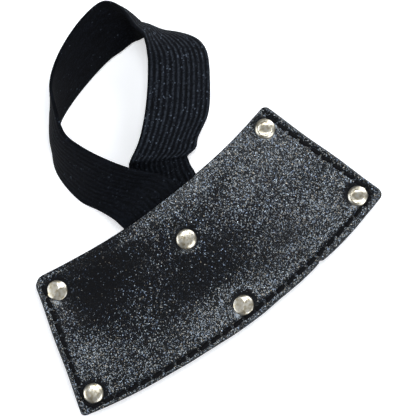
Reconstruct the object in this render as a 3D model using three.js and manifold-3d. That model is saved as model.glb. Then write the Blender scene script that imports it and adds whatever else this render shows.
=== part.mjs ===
// Leather axe blade cover: two curved panels with a welt between them, stitched and riveted on
// three sides, and an elastic band that loops out of the open mouth and round the axe's poll.
// Millimetres. X runs along the blade's edge, +Y points out of the mouth, +Z is the front face.
// The origin is the middle of the back panel's outer face.

import * as THREE from 'three';
import { mergeVertices } from 'three/addons/utils/BufferGeometryUtils.js';
import Module from 'manifold-3d';

const wasm = await Module();
wasm.setup();

// Outline: a sector of a ring between the mouth's arc and the blade edge's arc, with straight sides
const depth = 65.7;
const mouthRadius = 307;
const halfMouth = 63.4;
const edgeRadius = 327;
const halfEdge = 82.4;
const cornerTrim = 2.5;

// Layers, from the back panel's outer face up
const leather = 2.4;
const weltThickness = 3.2;
const weltWidth = 12.5;
const layerGap = 0.2;
const frontBulge = 4.2;
const weltBottom = leather + layerGap;
const frontBottom = weltBottom + weltThickness + layerGap;
const frontTop = frontBottom + leather;

// Stitches
const stitchInset = 3.0;
const stitchPitch = 6.0;
const threadRadius = 0.35;
const threadSides = 5;
const slitLength = 2.8;
const slitWidth = 1.3;
const stitchDip = 0.9;
const threadRise = 0.45;
const stepsPerStitch = 5;

// Rivets: a domed cap with a socket, and a post on a cap of the same width
const capRadius = 4.5;
const capHeight = 1.4;
const capTopRadius = 3.2;
const socketRadius = 1.6;
const socketDepth = 0.8;
const postRadius = 1.3;
const postHole = 1.6;
const innerHeadRadius = 3.6;
const innerHeadHeight = 0.6;
const rivetSegments = 12;
const perimeterRivets = [
  { name: 'mouth_right', x: 57.6, y: 31.2 },
  { name: 'mouth_left', x: -57.6, y: 29.4 },
  { name: 'edge_right', x: 72.3, y: -16.7 },
  { name: 'edge_left', x: -72.1, y: -16.0 },
  { name: 'edge_middle', x: 3.6, y: -24.8 },
];
const centreRivet = { x: 1.0, y: 13.6 };

// Elastic band
const bandWidth = 30;
const bandThickness = 1.6;
const frontEndLean = 11;
const backEndLean = -13.8;
const endBehindRivet = 10;
const endTip = 33.6;
const loopStart = 37.9;
const bandColumns = 4;
const rowsPerStation = 2;

// The loop's stations, from the front end to the back end. Each gives the rim that stands low,
// the rim that stands high, and how far the band's middle bows outwards between them.
const frontEndHeight = 9.2;
const backEndHeight = 3.4;
const loopStations = [
  { low: [-18.9, loopStart, frontEndHeight], high: [11.7, loopStart, frontEndHeight], bow: 0 },
  { low: [-20.4, 42.2, 7.6], high: [8.2, 43.6, 9.6], bow: 0 },
  { low: [-22.6, 47.0, 3.0], high: [2.3, 49.8, 16.5], bow: 0.5 },
  { low: [-26.6, 55.5, -0.6], high: [-4.4, 59.3, 21.0], bow: 0.5 },
  { low: [-26.9, 71.3, -0.6], high: [-11.1, 72.4, 24.0], bow: 1.5 },
  { low: [-21.1, 81.2, -0.6], high: [-13.3, 81.4, 27.0], bow: 3 },
  { low: [-12.8, 87.8, -0.6], high: [-9.9, 91.8, 27.5], bow: 3 },
  { low: [-4.7, 91.3, -0.6], high: [-5.3, 101.8, 25.5], bow: 1.5 },
  { low: [7.3, 94.6, -0.6], high: [4.8, 110.0, 23.0], bow: 0.5 },
  { low: [21.1, 96.9, -0.6], high: [22.9, 116.7, 20.5], bow: 0 },
  { low: [28.7, 96.7, -0.6], high: [33.3, 116.3, 20.0], bow: 1 },
  { low: [33.8, 96.7, -0.6], high: [37.1, 109.9, 25.0], bow: 4 },
  { low: [37.2, 96.1, -0.6], high: [38.3, 100.5, 27.5], bow: 4.5 },
  { low: [43.4, 95.1, -0.6], high: [39.2, 95.0, 28.0], bow: 3.5 },
  { low: [49.6, 91.5, -0.6], high: [38.0, 91.2, 26.0], bow: 2 },
  { low: [57.0, 84.2, -0.6], high: [36.0, 87.7, 22.0], bow: 1.5 },
  { low: [57.6, 73.9, 0.0], high: [32.9, 83.4, 16.5], bow: 1.5 },
  { low: [50.3, 61.5, 1.5], high: [27.3, 76.4, 14.5], bow: 1.5 },
  { low: [41.7, 51.5, 2.0], high: [19.0, 67.5, 14.0], bow: 1.5 },
  { low: [31.8, 45.8, 3.0], high: [9.9, 59.8, 13.0], bow: 1.5 },
  { low: [25.2, 42.9, 3.6], high: [2.8, 55.0, 10.0], bow: 1 },
  { low: [22.5, 40.0, 3.3], high: [-3.7, 46.6, 4.0], bow: 0 },
  { low: [22.0, loopStart, backEndHeight], high: [-8.6, loopStart, backEndHeight], bow: 0 },
];

// Solids with manifold-3d

function solid(geometry) {
  const g = geometry.clone();
  g.deleteAttribute('normal');
  g.deleteAttribute('uv');
  const merged = mergeVertices(g, 1e-4);
  return new wasm.Manifold(new wasm.Mesh({
    numProp: 3,
    vertProperties: merged.attributes.position.array,
    triVerts: new Uint32Array(merged.index.array),
  }));
}

function geometryOf(manifold) {
  const mesh = manifold.getMesh();
  const g = new THREE.BufferGeometry();
  g.setAttribute('position', new THREE.BufferAttribute(mesh.vertProperties, mesh.numProp));
  g.setIndex(new THREE.BufferAttribute(mesh.triVerts, 1));
  g.computeVertexNormals();
  return g;
}

// A closed slab over a grid of points: topAt and bottomAt give the two faces' points
function gridSlab(columns, rows, topAt, bottomAt) {
  const points = [];
  const faces = [];
  const layer = (columns + 1) * (rows + 1);
  const at = (i, j, k) => k * layer + j * (columns + 1) + i;
  const quad = (a, b, c, d) => faces.push(a, b, c, a, c, d);
  for (const pointAt of [bottomAt, topAt]) {
    for (let j = 0; j <= rows; j++) {
      for (let i = 0; i <= columns; i++) points.push(...pointAt(i / columns, j / rows));
    }
  }
  for (let j = 0; j < rows; j++) {
    for (let i = 0; i < columns; i++) {
      quad(at(i, j, 1), at(i + 1, j, 1), at(i + 1, j + 1, 1), at(i, j + 1, 1));
      quad(at(i, j, 0), at(i, j + 1, 0), at(i + 1, j + 1, 0), at(i + 1, j, 0));
    }
    quad(at(0, j, 0), at(0, j, 1), at(0, j + 1, 1), at(0, j + 1, 0));
    quad(at(columns, j, 0), at(columns, j + 1, 0), at(columns, j + 1, 1), at(columns, j, 1));
  }
  for (let i = 0; i < columns; i++) {
    quad(at(i, 0, 0), at(i + 1, 0, 0), at(i + 1, 0, 1), at(i, 0, 1));
    quad(at(i, rows, 0), at(i, rows, 1), at(i + 1, rows, 1), at(i + 1, rows, 0));
  }
  const g = new THREE.BufferGeometry();
  g.setAttribute('position', new THREE.Float32BufferAttribute(points, 3));
  g.setIndex(faces);
  return g;
}

function prism(shape, low, high, curveSegments = 12) {
  const g = new THREE.ExtrudeGeometry(shape, { depth: high - low, bevelEnabled: false, curveSegments });
  return g.translate(0, 0, low);
}

// The outline and the stitch line

const mouthCentre = depth / 2 + mouthRadius;
const edgeCentre = edgeRadius - depth / 2;
const mouthCorner = new THREE.Vector2(halfMouth, mouthCentre - Math.sqrt(mouthRadius ** 2 - halfMouth ** 2));
const edgeCorner = new THREE.Vector2(halfEdge, edgeCentre - Math.sqrt(edgeRadius ** 2 - halfEdge ** 2));
const sideDirection = edgeCorner.clone().sub(mouthCorner).normalize();
const sideNormal = new THREE.Vector2(-sideDirection.y, sideDirection.x);

// Where the right side's line, moved in by inset, leaves the circle about (0, centreY)
function sideMeets(inset, centreY, radius) {
  const start = mouthCorner.clone().addScaledVector(sideNormal, -inset);
  const fromCentre = start.clone().sub(new THREE.Vector2(0, centreY));
  const b = fromCentre.dot(sideDirection);
  const c = fromCentre.lengthSq() - radius ** 2;
  return start.addScaledVector(sideDirection, -b + Math.sqrt(b * b - c));
}

// The outline moved in by inset on the three closed sides, and by mouthInset at the mouth
function outline(inset, mouthInset, trim) {
  const mouthR = mouthRadius + mouthInset;
  const edgeR = edgeRadius - inset;
  const top = sideMeets(inset, mouthCentre, mouthR);
  const bottom = sideMeets(inset, edgeCentre, edgeR);
  const mouthAngle = Math.atan2(top.x, mouthCentre - top.y);
  const edgeAngle = Math.atan2(bottom.x, edgeCentre - bottom.y);
  const down = -Math.PI / 2;
  const shape = new THREE.Shape();
  shape.absarc(0, mouthCentre, mouthR, down - mouthAngle + trim / mouthR, down + mouthAngle - trim / mouthR);
  const upperSide = top.clone().addScaledVector(sideDirection, trim);
  const lowerSide = bottom.clone().addScaledVector(sideDirection, -trim);
  shape.quadraticCurveTo(top.x, top.y, upperSide.x, upperSide.y);
  shape.lineTo(lowerSide.x, lowerSide.y);
  const edgeStart = down + edgeAngle - trim / edgeR;
  shape.quadraticCurveTo(
    bottom.x, bottom.y, edgeR * Math.cos(edgeStart), edgeCentre + edgeR * Math.sin(edgeStart));
  shape.absarc(0, edgeCentre, edgeR, edgeStart, down - edgeAngle + trim / edgeR, true);
  shape.quadraticCurveTo(-bottom.x, bottom.y, -lowerSide.x, lowerSide.y);
  shape.lineTo(-upperSide.x, upperSide.y);
  shape.quadraticCurveTo(-top.x, top.y, shape.getPoint(0).x, shape.getPoint(0).y);
  return shape;
}

// The stitch holes' places, evenly spaced down one side, round the edge and up the other side
function stitchPoints() {
  const top = sideMeets(stitchInset, mouthCentre, mouthRadius + stitchInset);
  const edgeR = edgeRadius - stitchInset;
  const bottom = sideMeets(stitchInset, edgeCentre, edgeR);
  const angle = Math.atan2(bottom.x, edgeCentre - bottom.y);
  const line = new THREE.Path();
  line.moveTo(-top.x, top.y);
  line.lineTo(-bottom.x, bottom.y);
  line.absarc(0, edgeCentre, edgeR, -Math.PI / 2 - angle, -Math.PI / 2 + angle);
  line.lineTo(top.x, top.y);
  return line.getSpacedPoints(Math.round(line.getLength() / stitchPitch));
}
const holes = stitchPoints();

// How far the front panel stands off the flat: most at the middle of the mouth, nothing at the seams
function bulge(x, y) {
  const along = Math.max(0, 1 - (x / 60) ** 2) ** 2;
  const across = THREE.MathUtils.smoothstep(y, -20, 32);
  return frontBulge * along * across;
}

// A layer that follows the front panel's bulge
function bulgedLayer(low, high) {
  const x0 = -halfEdge - 5;
  const y0 = -depth / 2 - 5;
  const spanX = -2 * x0;
  const spanY = mouthCorner.y + 5 - y0;
  const face = (height) => (u, v) => {
    const x = x0 + spanX * u;
    const y = y0 + spanY * v;
    return [x, y, height + bulge(x, y)];
  };
  return solid(gridSlab(16, 8, face(high), face(low)));
}

// Holes through the whole stack

const throughLow = -5;
const throughHigh = frontTop + frontBulge + 5;

function drill(x, y, radius) {
  const g = new THREE.CylinderGeometry(radius, radius, throughHigh - throughLow, 12);
  return solid(g.rotateX(Math.PI / 2).translate(x, y, (throughLow + throughHigh) / 2));
}

// The middle rivet of the front panel stands square to the bulged leather, so its hole leans too
const centreBulge = bulge(centreRivet.x, centreRivet.y);
const centreLean = Math.atan(bulge(centreRivet.x, centreRivet.y + 0.5) - bulge(centreRivet.x, centreRivet.y - 0.5));
const centreSeat = frontBottom + centreBulge;

function leaningDrill() {
  const g = new THREE.CylinderGeometry(postHole, postHole, 2 * throughHigh, 12);
  g.rotateX(Math.PI / 2 + centreLean).translate(centreRivet.x, centreRivet.y, centreSeat);
  return solid(g);
}

function slit(index) {
  const before = holes[Math.max(0, index - 1)];
  const after = holes[Math.min(holes.length - 1, index + 1)];
  const turn = Math.atan2(after.y - before.y, after.x - before.x);
  const g = new THREE.BoxGeometry(slitLength, slitWidth, throughHigh - throughLow);
  g.rotateZ(turn).translate(holes[index].x, holes[index].y, (throughLow + throughHigh) / 2);
  return solid(g);
}

const seamHoles = wasm.Manifold.union([
  ...holes.map((point, index) => slit(index)),
  ...perimeterRivets.map(({ x, y }) => drill(x, y, postHole)),
]);
const frontCentreHole = leaningDrill();
const backCentreHole = drill(centreRivet.x, centreRivet.y, postHole);

// Materials, one for each piece

const finishes = {
  leather: { color: 0x1b1c1f, roughness: 0.45, metalness: 0 },
  weltLeather: { color: 0x17181a, roughness: 0.6, metalness: 0 },
  thread: { color: 0x0c0c0e, roughness: 0.7, metalness: 0 },
  nickel: { color: 0xd8d3c6, roughness: 0.2, metalness: 1 },
  elastic: { color: 0x0e0f11, roughness: 0.85, metalness: 0 },
};

const sheath = new THREE.Group();
const band = new THREE.Group();

function piece(name, geometry, finish, group = sheath) {
  const mesh = new THREE.Mesh(geometry, new THREE.MeshStandardMaterial(finishes[finish]));
  mesh.name = name;
  group.add(mesh);
  return mesh;
}

// Panels and welt

const panelShape = outline(0, 0, cornerTrim);

const frontPanel = bulgedLayer(frontBottom, frontTop)
  .intersect(solid(prism(panelShape, throughLow, throughHigh)))
  .subtract(seamHoles)
  .subtract(frontCentreHole);
piece('front_panel', geometryOf(frontPanel), 'leather');

const backPanel = solid(prism(panelShape, 0, leather)).subtract(seamHoles).subtract(backCentreHole);
piece('back_panel', geometryOf(backPanel), 'leather');

const pocketShape = outline(weltWidth, -10, 6);
const welt = solid(prism(panelShape, weltBottom, weltBottom + weltThickness))
  .subtract(solid(prism(pocketShape, throughLow, throughHigh)))
  .subtract(seamHoles);
piece('welt', geometryOf(welt), 'weltLeather');

// Threads: each lies along its panel and dips into every slit

function thread(surface, outward) {
  const route = [];
  const lying = surface + outward * threadRise;
  holes.forEach((hole, index) => {
    const next = holes[Math.min(holes.length - 1, index + 1)];
    const step = next.clone().sub(hole);
    route.push(new THREE.Vector3(hole.x, hole.y, surface - outward * stitchDip));
    if (index === holes.length - 1) return;
    for (const part of [0.17, 0.5, 0.83]) {
      route.push(new THREE.Vector3(hole.x + step.x * part, hole.y + step.y * part, lying));
    }
  });
  const section = new THREE.Shape();
  for (let i = 0; i < threadSides; i++) {
    const angle = (2 * Math.PI * i) / threadSides;
    const [x, y] = [threadRadius * Math.cos(angle), threadRadius * Math.sin(angle)];
    if (i === 0) section.moveTo(x, y);
    else section.lineTo(x, y);
  }
  section.closePath();
  return new THREE.ExtrudeGeometry(section, {
    steps: (holes.length - 1) * stepsPerStitch,
    extrudePath: new THREE.CatmullRomCurve3(route),
  });
}
piece('front_thread', thread(frontTop, 1), 'thread');
piece('back_thread', thread(0, -1), 'thread');

// Rivets

function turned(profile) {
  const points = profile.map(([r, z]) => new THREE.Vector2(r, z));
  return new THREE.LatheGeometry(points, rivetSegments).rotateX(Math.PI / 2);
}

// A cap above z = 0 with a blind socket for the post
function capGeometry() {
  return turned([
    [0, socketDepth], [socketRadius, socketDepth], [socketRadius, 0], [capRadius - 0.3, 0],
    [capRadius, 0.3], [capRadius - 0.35, 0.85], [capTopRadius, capHeight - 0.1],
    [capTopRadius - 0.7, capHeight], [0, capHeight],
  ]);
}

// A post that rises from a head lying below z = 0
function postGeometry(length, headRadius, headHeight) {
  return turned([
    [0, -headHeight], [headRadius - 1.3, -headHeight], [headRadius - 0.35, -headHeight * 0.6],
    [headRadius, -0.2], [headRadius - 0.2, 0], [postRadius, 0], [postRadius, length - 0.2],
    [postRadius - 0.2, length], [0, length],
  ]);
}

const capGap = 0.2;
const postPast = 0.5;

for (const { name, x, y } of perimeterRivets) {
  const top = frontTop + bulge(x, y);
  piece(`rivet_${name}_cap`, capGeometry(), 'nickel').position.set(x, y, top + capGap);
  const post = postGeometry(top + 2 * capGap + postPast, capRadius, capHeight);
  piece(`rivet_${name}_post`, post, 'nickel').position.set(x, y, -capGap);
}

// The two middle rivets hold the band's ends, one to each panel, and leave the pocket between them
const bandGap = 0.2;
const seatGap = 0.3;
const gripBelow = bandGap + bandThickness + seatGap;
const centrePostLength = gripBelow + leather + seatGap + postPast;

// The pair on one panel: z = 0 is the panel's inner face, and the cap lies outside it
function centrePair(side) {
  const pair = new THREE.Group();
  pair.position.set(centreRivet.x, centreRivet.y, 0);
  sheath.add(pair);
  piece(`rivet_centre_${side}_cap`, capGeometry(), 'nickel', pair).position.z = leather + seatGap;
  const post = postGeometry(centrePostLength, innerHeadRadius, innerHeadHeight);
  piece(`rivet_centre_${side}_post`, post, 'nickel', pair).position.z = -gripBelow;
  return pair;
}
const frontPair = centrePair('front');
frontPair.position.z = centreSeat;
frontPair.rotation.x = centreLean;
const backPair = centrePair('back');
backPair.position.z = leather;
backPair.rotation.x = Math.PI;

// Elastic band: two ends inside the pocket, and the loop

// A strip's outline along the band's end, turned about the middle rivet and cut square at the tip
function endOutline(lean) {
  const turn = THREE.MathUtils.degToRad(lean);
  const along = new THREE.Vector2(-Math.sin(turn), Math.cos(turn));
  const across = new THREE.Vector2(Math.cos(turn), Math.sin(turn));
  const centre = new THREE.Vector2(centreRivet.x, centreRivet.y);
  const tail = (side) => centre.clone()
    .addScaledVector(along, -endBehindRivet).addScaledVector(across, side * bandWidth / 2);
  const tip = (side) => {
    const corner = tail(side);
    return corner.addScaledVector(along, (endTip - corner.y) / along.y);
  };
  return new THREE.Shape([tail(-1), tail(1), tip(1), tip(-1)]);
}

const frontEnd = bulgedLayer(frontBottom - bandGap - bandThickness, frontBottom - bandGap)
  .intersect(solid(prism(endOutline(frontEndLean), throughLow, throughHigh)))
  .subtract(frontCentreHole);
piece('elastic_end_front', geometryOf(frontEnd), 'elastic');

const backEnd = solid(prism(endOutline(backEndLean), leather + bandGap, leather + bandGap + bandThickness))
  .subtract(backCentreHole);
piece('elastic_end_back', geometryOf(backEnd), 'elastic');

// The band's mid-surface: smooth rims through the stations, bowed outwards between them
const lowRim = new THREE.CatmullRomCurve3(loopStations.map((s) => new THREE.Vector3(...s.low)));
const highRim = new THREE.CatmullRomCurve3(loopStations.map((s) => new THREE.Vector3(...s.high)));

function bowAt(v) {
  const place = v * (loopStations.length - 1);
  const i = Math.min(Math.floor(place), loopStations.length - 2);
  return THREE.MathUtils.lerp(loopStations[i].bow, loopStations[i + 1].bow, place - i);
}

function outwardAt(v) {
  const travel = lowRim.getTangent(v).add(highRim.getTangent(v)).normalize();
  const across = highRim.getPoint(v).sub(lowRim.getPoint(v)).normalize();
  return across.cross(travel).normalize();
}

function bandPoint(u, v, offset) {
  const bow = 4 * bowAt(v) * u * (1 - u);
  return lowRim.getPoint(v).lerp(highRim.getPoint(v), u).addScaledVector(outwardAt(v), bow + offset);
}

const bandFace = (offset) => (u, v) => bandPoint(u, v, offset).toArray();
const loopRows = (loopStations.length - 1) * rowsPerStation;
const loopGeometry = gridSlab(
  bandColumns, loopRows, bandFace(bandThickness / 2), bandFace(-bandThickness / 2));
piece('elastic_loop', loopGeometry, 'elastic', band);

const axeBladeCover = new THREE.Group();
axeBladeCover.add(sheath, band);

export default axeBladeCover;
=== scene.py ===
import math

import bmesh
import bpy
import numpy as np
from mathutils import Matrix, Vector, noise


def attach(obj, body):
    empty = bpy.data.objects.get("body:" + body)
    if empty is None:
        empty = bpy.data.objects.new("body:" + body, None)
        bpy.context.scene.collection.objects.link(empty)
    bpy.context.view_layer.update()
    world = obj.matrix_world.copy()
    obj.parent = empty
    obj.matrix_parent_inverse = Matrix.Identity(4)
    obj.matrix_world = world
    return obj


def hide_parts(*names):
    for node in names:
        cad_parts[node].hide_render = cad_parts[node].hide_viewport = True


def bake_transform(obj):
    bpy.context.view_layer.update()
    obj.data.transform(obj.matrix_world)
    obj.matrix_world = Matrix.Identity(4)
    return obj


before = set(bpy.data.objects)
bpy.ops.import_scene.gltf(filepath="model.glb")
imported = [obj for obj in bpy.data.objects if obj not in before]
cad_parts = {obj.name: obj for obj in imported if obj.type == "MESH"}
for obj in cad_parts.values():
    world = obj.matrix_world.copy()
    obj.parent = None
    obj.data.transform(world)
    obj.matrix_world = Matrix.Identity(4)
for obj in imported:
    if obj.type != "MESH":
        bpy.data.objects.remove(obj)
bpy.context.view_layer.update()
mm = 0.001  # every size below is in millimetres and turned to metres at the end
scene = bpy.context.scene
print("frame loaded:", len(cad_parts), "CAD nodes")


def linear(hexColour):
    # sRGB hex to the linear colour that the shaders want
    parts = [int(hexColour[i:i + 2], 16) / 255 for i in (1, 3, 5)]
    return tuple(c / 12.92 if c <= 0.04045 else ((c + 0.055) / 1.055) ** 2.4 for c in parts) + (1.0,)


def addNode(tree, kind, settings=None, inputs=None):
    # inputs maps a socket's name or number to a value or to the output that feeds it
    node = tree.nodes.new(kind)
    for key, value in (settings or {}).items():
        setattr(node, key, value)
    for key, value in (inputs or {}).items():
        if isinstance(value, bpy.types.NodeSocket):
            tree.links.new(value, node.inputs[key])
        else:
            node.inputs[key].default_value = value
    return node


def newMaterial(name, baseColour, roughness, **shaderValues):
    material = bpy.data.materials.new(name)
    material.use_nodes = True
    tree = material.node_tree
    shader = tree.nodes["Principled BSDF"]
    shader.inputs["Base Color"].default_value = linear(baseColour)
    shader.inputs["Roughness"].default_value = roughness
    for key, value in shaderValues.items():
        shader.inputs[key.replace("_", " ")].default_value = value
    return material, tree, shader


def setStops(ramp, stops):
    # stops is a list of (place, hex colour); the ramp starts with two
    elements = ramp.color_ramp.elements
    while len(elements) < len(stops):
        elements.new(1.0)
    for element, (place, colour) in zip(elements, stops):
        element.position = place
        element.color = linear(colour)


def smoothstep(x, low, high):
    t = np.clip((x - low) / (high - low), 0, 1)
    return t * t * (3 - 2 * t)


def lump(distance, width):
    # 1 in the middle, dying away on both sides over the width
    return np.exp(-(distance / width) ** 2)


def positions(bm):
    return np.array([v.co for v in bm.verts], float)


def place(bm, points):
    for vert, point in zip(bm.verts, points):
        vert.co = point


def softNoise(x, y, z, size):
    # smooth noise, about -1 to 1, with lumps of the given size
    return np.array([noise.noise(Vector((a / size, b / size, z))) for a, b in zip(x, y)])


def finish(bm, name, materials, body=None, smooth=True):
    bmesh.ops.scale(bm, vec=(mm, mm, mm), verts=bm.verts)
    for face in bm.faces:
        face.smooth = smooth
    mesh = bpy.data.meshes.new(name)
    bm.to_mesh(mesh)
    bm.free()
    for material in materials:
        mesh.materials.append(material)
    piece = bpy.data.objects.new(name, mesh)
    scene.collection.objects.link(piece)
    if body:
        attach(piece, body)
    print("  made", name, len(mesh.polygons), "faces")
    return piece


studio = {
    "floorHeight": -1.62,      # just under the back rivet caps
    "floorSize": 4000,
    "floorColour": "#f7f7f6",
    "floorGlow": 0.45,         # as on a light table, so that hardly any shadow shows
    "worldColour": "#f4f6fa",
    "worldStrength": 0.15,
    "lampColour": "#f0f5fd",
    "aim": (16.7, 18.5, 9.0),
    "cameraDistance": 1010,
    "lens": 200,
    "sensor": 36,
    "clipEnd": 20,             # metres
    "roll": -37.0,             # the cover lies turned on the table
}

floorBm = bmesh.new()
bmesh.ops.create_grid(floorBm, x_segments=2, y_segments=2, size=studio["floorSize"])
bmesh.ops.translate(floorBm, vec=(0, 0, studio["floorHeight"]), verts=floorBm.verts)
# matt white paper: nearly no shine
floorPaper, _, floorShader = newMaterial("mattWhitePaper", studio["floorColour"], 0.9)
floorShader.inputs["Specular IOR Level"].default_value = 0.1
floorShader.inputs["Emission Color"].default_value = linear("#ffffff")
floorShader.inputs["Emission Strength"].default_value = studio["floorGlow"]
floor = finish(floorBm, "paper_floor", [floorPaper], smooth=False)

world = bpy.data.worlds.new("studioWorld")
scene.world = world
world.use_nodes = True
worldBackground = world.node_tree.nodes["Background"]
worldBackground.inputs["Color"].default_value = linear(studio["worldColour"])
worldBackground.inputs["Strength"].default_value = studio["worldStrength"]

# each softbox: name, place, size, watts, all aimed at the middle of the cover
softboxes = [
    ("overhead", (215, 250, 1250), 400, 7.3),
    ("leftBox", (-1150, 500, 850), 900, 9),
    ("rightBox", (1250, 250, 850), 900, 14),
    ("frontBox", (150, -1200, 850), 900, 10),
]
for boxName, boxPlace, boxSize, watts in softboxes:
    lamp = bpy.data.lights.new(boxName, "AREA")
    lamp.shape = "SQUARE"
    lamp.size = boxSize * mm
    lamp.energy = watts
    lamp.color = linear(studio["lampColour"])[:3]
    lampObject = bpy.data.objects.new(boxName, lamp)
    scene.collection.objects.link(lampObject)
    lampObject.location = Vector(boxPlace) * mm
    towards = Vector(studio["aim"]) - Vector(boxPlace)
    lampObject.rotation_euler = towards.to_track_quat("-Z", "Y").to_euler()

cameraData = bpy.data.cameras.new("camera")
cameraData.lens = studio["lens"]
cameraData.sensor_width = studio["sensor"]
cameraData.clip_end = studio["clipEnd"]
camera = bpy.data.objects.new("camera", cameraData)
scene.collection.objects.link(camera)
aim = Vector(studio["aim"])
camera.location = (aim + Vector((0, 0, studio["cameraDistance"]))) * mm
camera.rotation_euler = (0, 0, math.radians(studio["roll"]))
scene.camera = camera
scene.view_settings.view_transform = "Standard"
print("studio ready")


def coatedCowhide():
    # Chrome-tanned cowhide, embossed with a fine grain and finished in black with a pearl topcoat:
    # a dark semi-gloss skin whose grain throws small white, bluish and brownish glints, partly from pebbles
    # that lean into the light and partly painted into the base colour.
    material, tree, shader = newMaterial("coatedBlackCowhide", "#101114", 0.15, Specular_IOR_Level=0.48)
    shader.inputs["Coat Weight"].default_value = 0.16       # the clear pearl topcoat
    shader.inputs["Coat Roughness"].default_value = 0.34
    where = addNode(tree, "ShaderNodeTexCoord").outputs["Object"]
    grainWidth = 0.37 * mm     # a real pebble is about 0.3 mm, drawn a little coarser so that it shows
    glintWidth = 0.38 * mm     # one painted glint cell to each pebble
    creaseWidth = 1.6 * mm
    patchWidth = 26 * mm       # lazy patches where the topcoat is thicker or rubbed
    cells = addNode(tree, "ShaderNodeTexVoronoi", {"feature": "F1"},
            {"Vector": where, "Scale": 1 / glintWidth})
    glints = addNode(tree, "ShaderNodeSeparateColor", None, {"Color": cells.outputs["Color"]})
    glintRamp = addNode(tree, "ShaderNodeValToRGB", None, {"Fac": glints.outputs["Red"]})
    # the brightest few cells are painted glints: light flecks in the base colour standing in for sparkle
    setStops(glintRamp,
            [(0.0, "#050506"), (0.5, "#090a0c"), (0.8, "#101215"), (0.93, "#2c3036"), (0.97, "#59606a"),
             (1.0, "#eef3fa")])
    tintRamp = addNode(tree, "ShaderNodeValToRGB", None, {"Fac": glints.outputs["Green"]})
    setStops(tintRamp, [(0.0, "#f0d9b4"), (0.3, "#eef1ec"), (0.7, "#dcebf4"), (1.0, "#bfd2f2")])
    tinted = addNode(tree, "ShaderNodeMix", {"data_type": "RGBA", "blend_type": "MULTIPLY"},
            {"Factor": 1.0})
    tree.links.new(tintRamp.outputs["Color"], shader.inputs["Specular Tint"])
    tree.links.new(glintRamp.outputs["Color"], tinted.inputs[6])
    tree.links.new(tintRamp.outputs["Color"], tinted.inputs[7])
    patches = addNode(tree, "ShaderNodeTexNoise", None,
            {"Vector": where, "Scale": 1 / patchWidth, "Detail": 1.0})
    patchAmount = addNode(tree, "ShaderNodeMapRange", None,
            {"Value": patches.outputs["Fac"], "From Min": 0.3, "From Max": 0.62, "To Min": 0.66,
             "To Max": 0.95})
    # painted shade and painted light: where this attribute is low the skin is mixed towards a near-black
    # painted shade colour and its pebbles lean less, so fewer glints show
    paintedShadeMap = addNode(tree, "ShaderNodeAttribute", {"attribute_name": "grainAndPaintedShade"})
    litShare = addNode(tree, "ShaderNodeMath", {"operation": "MULTIPLY"},
            {0: patchAmount.outputs["Result"], 1: paintedShadeMap.outputs["Fac"]})
    skin = addNode(tree, "ShaderNodeMix", {"data_type": "RGBA"}, {"Factor": litShare.outputs["Value"]})
    # the near-black painted shade colour
    skin.inputs[6].default_value = linear("#070709")
    tree.links.new(tinted.outputs[2], skin.inputs[7])
    tree.links.new(skin.outputs[2], shader.inputs["Base Color"])
    gloss = addNode(tree, "ShaderNodeMapRange", None,
            {"Value": glints.outputs["Blue"], "To Min": 0.07, "To Max": 0.22})
    tree.links.new(gloss.outputs["Result"], shader.inputs["Roughness"])
    creases = addNode(tree, "ShaderNodeTexNoise", None,
            {"Vector": where, "Scale": 1 / creaseWidth, "Detail": 5.0, "Roughness": 0.65})
    bump = addNode(tree, "ShaderNodeBump", None,
            {"Height": creases.outputs["Fac"], "Strength": 0.3, "Distance": 0.1 * mm})
    # each grain pebble leans its own way, so that some catch the light and most do not
    pebbles = addNode(tree, "ShaderNodeTexVoronoi", {"feature": "F1"},
            {"Vector": where, "Scale": 1 / grainWidth})
    lean = addNode(tree, "ShaderNodeVectorMath", {"operation": "SUBTRACT"},
            {0: pebbles.outputs["Color"], 1: (0.5, 0.5, 0.5)})
    leanBy = addNode(tree, "ShaderNodeMath", {"operation": "MULTIPLY_ADD"},
            {0: litShare.outputs["Value"], 1: 0.42, 2: 0.04})
    leanScaled = addNode(tree, "ShaderNodeVectorMath", {"operation": "SCALE"},
            {0: lean.outputs["Vector"], "Scale": leanBy.outputs["Value"]})
    tipped = addNode(tree, "ShaderNodeVectorMath", {"operation": "ADD"},
            {0: bump.outputs["Normal"], 1: leanScaled.outputs["Vector"]})
    facing = addNode(tree, "ShaderNodeVectorMath", {"operation": "NORMALIZE"},
            {0: tipped.outputs["Vector"]})
    tree.links.new(facing.outputs["Vector"], shader.inputs["Normal"])
    return material


def burnishedEdge():
    # The cut edge of the dyed hide, inked and rubbed with a bone slicker: dark and nearly
    # smooth, with fibres lying along the cut.
    material, tree, shader = newMaterial("burnishedLeatherEdge", "#0c0b0c", 0.42)
    where = addNode(tree, "ShaderNodeTexCoord").outputs["Object"]
    fibreWidth = 1.1 * mm
    fibres = addNode(tree, "ShaderNodeMapping", None, {"Vector": where, "Scale": (1, 1, 6)})
    streaks = addNode(tree, "ShaderNodeTexNoise", None,
            {"Vector": fibres.outputs["Vector"], "Scale": 1 / fibreWidth, "Detail": 4.0})
    inkRamp = addNode(tree, "ShaderNodeValToRGB", None, {"Fac": streaks.outputs["Fac"]})
    setStops(inkRamp, [(0.3, "#070708"), (0.6, "#121214"), (0.8, "#232022")])
    tree.links.new(inkRamp.outputs["Color"], shader.inputs["Base Color"])
    bump = addNode(tree, "ShaderNodeBump", None,
            {"Height": streaks.outputs["Fac"], "Strength": 0.4, "Distance": 0.1 * mm})
    tree.links.new(bump.outputs["Normal"], shader.inputs["Normal"])
    return material


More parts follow.
